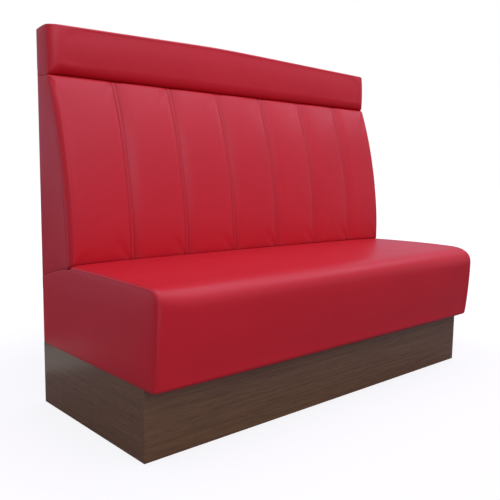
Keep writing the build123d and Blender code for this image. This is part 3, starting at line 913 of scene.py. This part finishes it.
# Numbers of a mix node's colour sockets. Then sizes of patterns: one, or one along the grain and one
# across it. The vinyl's grain, the pores, the fibres and the thread's twist are coarser than real ones,
# which are too fine to show.
mix_first, mix_second, mix_result = 6, 7, 2
vinyl_grain = 2.2
vinyl_wrinkle = 60
vinyl_tone = 300
walnut_figure = (330, 6)
walnut_pores = (45, 1.1)
ply_thickness = 1.5
ply_grain = (250, 16.667)
spruce_rings = (333.33, 5.5556)
lining_dimple = 2.4
lining_fibres = 1.1111
thread_twist = 0.71429
zinc_cloud = 4


def make_vinyl():
    """PVC-coated upholstery vinyl, embossed with a fine leather grain: a soft broad sheen, and a darker,
    duller colour painted into the seams and creases as shade."""
    material, tree, place = new_material("red_upholstery_vinyl")
    _, colour = mottled(tree, place, vinyl_tone, 3.0, [(0.3, "#d01f29"), (0.7, "#d6212b")])
    # Painted shade: the seam attribute mixes the colour towards a dark red in the seams and creases.
    seam = add(tree, "ShaderNodeAttribute", attribute_name="seam").outputs["Fac"]
    shaded = add(tree, "ShaderNodeMix", {0: seam, mix_first: colour, mix_second: linear("#6e0d18")},
                 data_type="RGBA")
    cells = add(tree, "ShaderNodeTexVoronoi", {"Vector": place, "Scale": 1 / (vinyl_grain * mm)},
                feature="SMOOTH_F1")
    wrinkle = add(tree, "ShaderNodeTexNoise", {
        "Vector": place, "Scale": 1 / (vinyl_wrinkle * mm), "Detail": 2.0,
    })
    soft = add(tree, "ShaderNodeBump", {"Height": wrinkle, "Strength": 0.25, "Distance": 2 * mm})
    grain = add(tree, "ShaderNodeBump", {
        "Height": cells, "Strength": 0.12, "Distance": 0.3 * mm, "Normal": soft,
    })
    rough = add(tree, "ShaderNodeMapRange", {"Value": wrinkle, "To Min": 0.34, "To Max": 0.41})
    return surfaced(material, {
        "Base Color": shaded.outputs[mix_result], "Roughness": rough, "IOR": 1.5,
        "Specular IOR Level": 0.38, "Normal": grain,
    })


def make_walnut(name, along_x):
    """Walnut-effect melamine on board: dark straight grain along the board with lighter streaks, and a
    smooth sealed surface that shows a grey sheen at a low angle."""
    material, tree, place = new_material(name)
    _, colour = grained(tree, place, walnut_figure, 5.0, [
        (0.25, "#694d31"), (0.45, "#745636"), (0.6, "#7d5f3a"), (0.8, "#8c6c44"),
    ], along_x, Roughness=0.62, Distortion=0.35)
    pores, dark = grained(tree, place, walnut_pores, 2.0, [(0.3, "#9a9a9a"), (0.45, "#ffffff")], along_x)
    mixed = add(tree, "ShaderNodeMix", {0: 0.7, mix_first: colour, mix_second: dark},
                data_type="RGBA", blend_type="MULTIPLY")
    bump = add(tree, "ShaderNodeBump", {"Height": pores, "Strength": 0.15, "Distance": 0.1 * mm})
    return surfaced(material, {
        "Base Color": mixed.outputs[mix_result], "Roughness": 0.22, "IOR": 1.5,
        "Specular IOR Level": 0.8, "Normal": bump,
    })


def make_plywood(name, thickness_axis):
    """Birch plywood: pale veneer, with its plies as fine stripes where an edge shows."""
    material, tree, place = new_material(name)
    parts = add(tree, "ShaderNodeSeparateXYZ", {"Vector": place})
    layer = add(tree, "ShaderNodeMath", {0: parts.outputs[thickness_axis], 1: math.pi / (ply_thickness * mm)},
                operation="MULTIPLY")
    wave = add(tree, "ShaderNodeMath", {0: layer}, operation="SINE")
    stripes = add(tree, "ShaderNodeMapRange", {"Value": wave, "From Min": -0.6, "From Max": 0.6})
    edge = add(tree, "ShaderNodeValToRGB", {"Fac": stripes}, [(0.0, "#c8a986"), (1.0, "#ffffff")])
    _, veneer = grained(tree, place, ply_grain, 4.0, [(0.3, "#c9a577"), (0.7, "#dcbd90")])
    mixed = add(tree, "ShaderNodeMix", {0: 0.6, mix_first: veneer, mix_second: edge},
                data_type="RGBA", blend_type="MULTIPLY")
    return surfaced(material, {"Base Color": mixed.outputs[mix_result], "Roughness": 0.62})


def make_softwood():
    """Planed spruce batten: pale, with straight growth lines along its length."""
    material, tree, place = new_material("planed_spruce")
    rings, colour = grained(tree, place, spruce_rings, 3.0, [
        (0.35, "#c79b62"), (0.5, "#dfbc88"), (0.7, "#e8cba0"),
    ])
    bump = add(tree, "ShaderNodeBump", {"Height": rings, "Strength": 0.3, "Distance": 0.2 * mm})
    return surfaced(material, {"Base Color": colour, "Roughness": 0.6, "Normal": bump})


def make_lining():
    """Black spunbonded lining cloth: matt, with the small pressed dimples that bond its fibres."""
    material, tree, place = new_material("black_spunbond_lining")
    _, colour = mottled(tree, place, lining_fibres, 4.0, [(0.3, "#0f0f11"), (0.7, "#232326")])
    cells = add(tree, "ShaderNodeTexVoronoi", {
        "Vector": place, "Scale": 1 / (lining_dimple * mm), "Randomness": 0.25,
    })
    bump = add(tree, "ShaderNodeBump", {"Height": cells, "Strength": 0.5, "Distance": 0.3 * mm})
    return surfaced(material, {
        "Base Color": colour, "Roughness": 0.85, "Normal": bump, "Sheen Weight": 0.2,
    })


def make_thread():
    """Bonded polyester thread, a shade darker than the vinyl: it catches a little light on each stitch."""
    material, tree, place = new_material("red_polyester_thread")
    _, colour = mottled(tree, place, thread_twist, 1.0, [(0.3, "#ac1a24"), (0.7, "#bd202a")])
    return surfaced(material, {"Base Color": colour, "Roughness": 0.5})


def make_zinc():
    """Bright zinc-plated steel: a cool metal with a slight cloudy tarnish."""
    material, tree, place = new_material("zinc_plated_steel")
    cloud, colour = mottled(tree, place, zinc_cloud, 2.0, [(0.3, "#a7a9a8"), (0.7, "#c4c6c4")])
    rough = add(tree, "ShaderNodeMapRange", {"Value": cloud, "To Min": 0.28, "To Max": 0.42})
    return surfaced(material, {"Base Color": colour, "Metallic": 1.0, "Roughness": rough})


# Rows of stitches and staples

def make_row_tree():
    """Lays short pieces along a path at a pitch: rounded ones for stitches, straight ones for staples."""
    tree = bpy.data.node_groups.new("row_along_path", "GeometryNodeTree")
    sockets = {"Path": "Geometry", "Pitch": "Float", "Length": "Float", "Thickness": "Float",
               "Rounded": "Bool", "Crookedness": "Float", "Seed": "Int", "Material": "Material"}
    for name, kind in sockets.items():
        tree.interface.new_socket(name=name, in_out="INPUT", socket_type="NodeSocket" + kind)
    tree.interface.new_socket(name="Row", in_out="OUTPUT", socket_type="NodeSocketGeometry")
    given = add(tree, "NodeGroupInput").outputs
    path = add(tree, "GeometryNodeMeshToCurve", {"Mesh": given["Path"]})
    spots = add(tree, "GeometryNodeResampleCurve", {"Curve": path, "Length": given["Pitch"]},
                mode="LENGTH")
    tangent = add(tree, "GeometryNodeInputTangent")
    crooked = add(tree, "FunctionNodeRandomValue", {0: (-1, -1, -1), 1: (1, 1, 1), "Seed": given["Seed"]},
                  data_type="FLOAT_VECTOR")
    tilt = add(tree, "ShaderNodeVectorMath", {0: crooked, "Scale": given["Crookedness"]},
               operation="SCALE")
    lean = add(tree, "ShaderNodeVectorMath", {0: tangent, 1: tilt}, operation="ADD")
    turn = add(tree, "FunctionNodeAlignRotationToVector", {"Vector": lean}, axis="Z")
    ball = add(tree, "GeometryNodeMeshUVSphere", {"Segments": 6, "Rings": 5, "Radius": 0.5})
    bar = add(tree, "GeometryNodeMeshCylinder", {"Vertices": 6, "Radius": 0.5, "Depth": 1.0})
    form = add(tree, "GeometryNodeSwitch", {
        "Switch": given["Rounded"], "False": bar, "True": ball,
    }, input_type="GEOMETRY")
    size = add(tree, "ShaderNodeCombineXYZ", {
        "X": given["Thickness"], "Y": given["Thickness"], "Z": given["Length"],
    })
    row = add(tree, "GeometryNodeInstanceOnPoints", {
        "Points": spots, "Instance": form, "Rotation": turn, "Scale": size,
    })
    real = add(tree, "GeometryNodeRealizeInstances", {"Geometry": row})
    smooth = add(tree, "GeometryNodeSetShadeSmooth", {"Geometry": real})
    dressed = add(tree, "GeometryNodeSetMaterial", {"Geometry": smooth, "Material": given["Material"]})
    add(tree, "NodeGroupOutput", {"Row": dressed})
    return tree


def lay_row(name, tree, paths, **sizes):
    """A plain mesh piece with the tree's row along each path, in (x, depth, height) millimetres."""
    vertices, edges = [], []
    for path in paths:
        start = len(vertices)
        vertices += [tuple(place) for place in to_scene(path)]
        edges += [(start + i, start + i + 1) for i in range(len(path) - 1)]
    mesh = bpy.data.meshes.new(name + "_path")
    mesh.from_pydata(vertices, edges, [])
    carrier = new_object(name + "_path", mesh)
    modifier = carrier.modifiers.new("Row", "NODES")
    modifier.node_group = tree
    for item in tree.interface.items_tree:
        if item.in_out == "INPUT" and item.name in sizes:
            modifier[item.identifier] = sizes[item.name]
    depsgraph = bpy.context.evaluated_depsgraph_get()
    finished = bpy.data.meshes.new_from_object(carrier.evaluated_get(depsgraph), depsgraph=depsgraph)
    finished.name = name
    bpy.data.objects.remove(carrier)
    return new_object(name, finished)


def resampled(path, pitch=8):
    """A path thinned to one point each pitch, so that its row follows the cover and not its mesh."""
    step = path_length(path)
    places = np.linspace(0, step[-1], max(int(step[-1] / pitch), 2))
    return np.stack([np.interp(places, step, path[:, i]) for i in range(3)], axis=1)


# Light, floor and camera

camera_place = Vector((-1.6035, rear_y * mm - 1.9395, 0.7604))
camera_yaw = 42.026
camera_pitch = 7.076
camera_roll = 0.854
camera_lens = 45.76
camera_sensor = 36.0
lamp_colour = "#e6dfff"
floor_reach = 30.0
floor_height = -0.0005


def make_camera():
    """The photograph's viewpoint, from corners fitted to the seat's sizes."""
    camera = bpy.data.cameras.new("photo_camera")
    camera.lens, camera.sensor_width = camera_lens, camera_sensor
    pose = Matrix.Translation(camera_place)
    for angle, axis in ((-camera_yaw, "Z"), (90 - camera_pitch, "X"), (camera_roll, "Z")):
        pose = pose @ Matrix.Rotation(math.radians(angle), 4, axis)
    holder = new_object("photo_camera", camera)
    holder.matrix_world = pose
    bpy.context.scene.camera = holder


def soft_box(name, place, target, size, power, hex_colour=lamp_colour):
    """A rectangular lamp at place that faces target."""
    lamp = bpy.data.lights.new(name, "AREA")
    lamp.shape, (lamp.size, lamp.size_y) = "RECTANGLE", size
    lamp.energy, lamp.color = power, linear(hex_colour)[:3]
    holder = new_object(name, lamp)
    holder.location = place
    holder.rotation_euler = (Vector(target) - Vector(place)).to_track_quat("-Z", "Y").to_euler()
    holder.visible_camera = False


def camera_sees(tree, output, shown, room):
    """Shows one shader to the camera and gives the rest of the room another."""
    seen = add(tree, "ShaderNodeLightPath").outputs["Is Camera Ray"]
    add(tree, output, {"Surface": add(tree, "ShaderNodeMixShader", {0: seen, 1: room, 2: shown})})


def make_light():
    """Large soft lamps round the seat, and a white backdrop that the camera alone sees."""
    soft_box("ceiling_light", (0.2, -0.35, 3.1), (0.2, -0.2, 0), (3.4, 2.6), 42.0)
    soft_box("right_light", (2.3, -0.7, 2.4), (0, -0.3, 0.45), (1.3, 0.9), 5.5)
    soft_box("front_light", (0.6, -2.2, 2.8), (0, 0, 0.6), (2.4, 1.6), 10.0)
    soft_box("window_light", (-0.8, -3.4, 2.4), (0, 0, 0.6), (2.0, 1.4), 19.5)
    soft_box("left_light", (-1.75, 0.95, 0.6), (-0.75, 0.1, 0.5), (1.1, 1.0), 1.65)
    soft_box("skirting_light", (-0.94, 0.6, 0.05), (-0.75, 0.2, 0.1), (0.24, 0.1), 0.03, "#dde6dc")
    soft_box("low_light", (-1.1, -1.35, 0.14), (-0.1, -0.33, 0.3), (1.2, 0.22), 1.5)
    world = bpy.data.worlds.new("white_room")
    bpy.context.scene.world = world
    world.use_nodes = True
    tree = world.node_tree
    tree.nodes.clear()
    room = add(tree, "ShaderNodeBackground", {"Color": linear(lamp_colour), "Strength": 0.57})
    white = add(tree, "ShaderNodeBackground", {"Color": (1, 1, 1, 1), "Strength": 1.0})
    camera_sees(tree, "ShaderNodeOutputWorld", white, room)


def make_floor():
    """A pale matt floor that keeps the seat's shadow and meets the white of the background."""
    material, tree, place = new_material("pale_studio_floor")
    matt = add(tree, "ShaderNodeBsdfDiffuse", {"Color": linear("#808080")})
    away = add(tree, "ShaderNodeVectorMath", {0: place}, operation="LENGTH").outputs["Value"]
    glow = add(tree, "ShaderNodeMapRange", {
        "Value": away, "From Min": 1.0, "From Max": 2.2, "To Min": 0.82, "To Max": 1.0,
    })
    white = add(tree, "ShaderNodeEmission", {"Color": (1, 1, 1, 1), "Strength": glow})
    lit = add(tree, "ShaderNodeAddShader", {0: matt, 1: white})
    camera_sees(tree, "ShaderNodeOutputMaterial", lit, matt)
    turns = ((-1, -1), (1, -1), (1, 1), (-1, 1))
    corners = [(x * floor_reach, y * floor_reach, floor_height) for x, y in turns]
    floor = make_object("studio_floor", corners, [(0, 1, 2, 3)])
    floor.data.materials.append(material)


# Assembly

def finish_piece(piece, material, nodes):
    """Gives a piece its material, attaches it to the root and hides the CAD nodes that it stands for."""
    if material is not None:
        piece.data.materials.append(material)
    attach(piece, "root")
    if nodes:
        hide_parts(*nodes)


def dress_boards(zinc):
    """Real timber and steel finishes on the boards, battens and screws that stay as they are."""
    side, spruce = make_walnut("walnut_melamine_side", False), make_softwood()
    finishes = {
        "plinth_front_board": make_walnut("walnut_melamine_front", True),
        "plinth_left_board": side, "plinth_right_board": side,
        "back_middle_rail": spruce, "coach_screws": zinc,
    }
    plies = [make_plywood("birch_plywood_" + axis, number) for number, axis in enumerate("xyz")]
    for name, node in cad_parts.items():
        ply = plies[int(np.argmin(np.subtract(*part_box(name)[::-1])))]
        for slot in node.material_slots:
            slot.material = finishes.get(name, spruce if "batten" in name else ply)


def build_upholstery(vinyl, thread, row_tree):
    """The three cushions, their end panels and the stitching."""
    seat, back, roll = seat_grids(), back_grids(), roll_grids()
    seat, roll, back = swell_cushions(seat, back, roll)
    channels = [f"back_channel_{index + 1}" for index in range(channel_count)]
    for name, grids, nodes, fill in (
        ("seat_cushion", seat, ("seat_cover", "seat_foam", "seat_front_foam"), 0.95),
        ("channelled_back", back, (*channels, "back_foam"), 0.9),
        ("head_roll", roll, ("roll_cover", "roll_foam"), 0.95),
    ):
        finish_piece(grid_shell(name, *grids), vinyl, nodes)
    for side, word in ((-1, "left"), (1, "right")):
        outlines = {"seat": seat_side_outline(side), "back": back_side_outline(), "roll": roll_side_outline()}
        for part, outline in outlines.items():
            panel = end_panel(f"{part}_{word}_end_panel", outline, side)
            nodes = [f"{part}_{word}_end_cover"]
            if part != "roll":
                nodes.append(f"{part}_{word}_end_pad")
            finish_piece(panel, vinyl, nodes)
    sew(seat[0], back[0], thread, row_tree)


def sew(seat, back, thread, row_tree):
    """Top stitching: down the felled strip beside each channel seam, and along the seat's end seams."""
    width = 2 * half / channel_count
    on_strip = seam_shift - stitch_on_strip * strip_width
    rows = [(back, index * width - half + on_strip, stitched_rows, (0, row_proud, 0))
            for index in range(1, channel_count)]
    top_and_front = slice(seat_start["top"], seat_start["foot"])
    rows += [(seat, side * (half - stitch_from_end), top_and_front, (0, row_proud, row_proud))
             for side in (-1, 1)]
    paths = []
    for grid, place, stretch, proud in rows:
        column = int(np.argmin(np.abs(grid[:, 0, 0] - place)))
        paths.append(resampled(grid[column, stretch] + proud))
    stitches = lay_row("top_stitching", row_tree, paths, Material=thread, **stitch_row)
    finish_piece(stitches, None, ())


# Lining cloths. Each ripple is a product of waves, and grows from the edge inwards.
lining_counts = (121, 41)
cloth_thickness = 0.6
ripple_height = 0.4
ripple_reach = 60
ripple_sizes = (31, 47, 90)
lining_gaps = {"z": 0.15, "y": 0.1}


def lining_sheet(name, node, lining, axis):
    """A thin stretched cloth in the place of a lining board, with faint ripples between its staples.
    Returns it and its flat size in metres."""
    low, high = (np.array(corner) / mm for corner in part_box(node))
    rear, front = rear_y - high[1], rear_y - low[1]
    start, end, layer = (rear, front, low[2]) if axis == "z" else (low[2], high[2], rear)
    x, across = np.linspace(low[0], high[0], lining_counts[0]), np.linspace(start, end, lining_counts[1])
    wide, tall = np.meshgrid(x, across, indexing="ij")
    edge = np.minimum.reduce([wide - x[0], x[-1] - wide, tall - start, end - tall])
    slack = ripple_height * np.clip(edge / ripple_reach, 0, 1) ** 0.5
    first, second, third = ripple_sizes
    ripple = slack * (0.5 + 0.5 * np.sin(wide / first) * np.sin(tall / second + wide / third))
    near = layer + lining_gaps[axis] + ripple
    outer, inner = (np.stack([wide, tall, level] if axis == "z" else [wide, level, tall], axis=-1)
                    for level in (near, near + cloth_thickness))
    piece = grid_shell(name, outer, inner, np.zeros(wide.shape))
    finish_piece(piece, lining, (node,))
    return piece, ((x[-1] - x[0]) * mm, (end - start) * mm)


def staple_lines(node):
    """The four straight lines of staples along the edges of a rear cloth."""
    low, high = (np.array(corner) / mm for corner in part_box(node))
    left, foot = low[0] + staple_inset, low[2] + staple_inset
    right, top = high[0] - staple_inset, high[2] - staple_inset
    corners = [(x, row_proud, z) for x, z in ((left, foot), (right, foot), (right, top), (left, top))]
    return [list(ends) for ends in zip(corners, corners[1:] + corners[:1])]


def build_linings(lining, zinc, row_tree):
    """The stretched cloths under the seat and over the rear, and their staples."""
    paths = []
    for name, node, axis, rests_on in (
        ("base_lining", "seat_base_lining", "z", ["plinth_front_batten", "plinth_rear_batten"]),
        ("seat_rear_cloth", "seat_rear_lining", "y", ["seat_rear_board"]),
        ("back_rear_cloth", "back_rear_lining", "y", ["back_middle_rail"]),
    ):
        piece, flat = lining_sheet(name, node, lining, axis)
        if axis == "y":
            paths += staple_lines(node)
    staples = lay_row("lining_staples", row_tree, paths, Material=zinc, **staple_row)
    finish_piece(staples, None, ())


bpy.context.scene.view_settings.view_transform = "Standard"
make_camera()
make_light()
make_floor()
zinc = make_zinc()
dress_boards(zinc)
rows = make_row_tree()
build_upholstery(make_vinyl(), make_thread(), rows)
build_linings(make_lining(), zinc, rows)
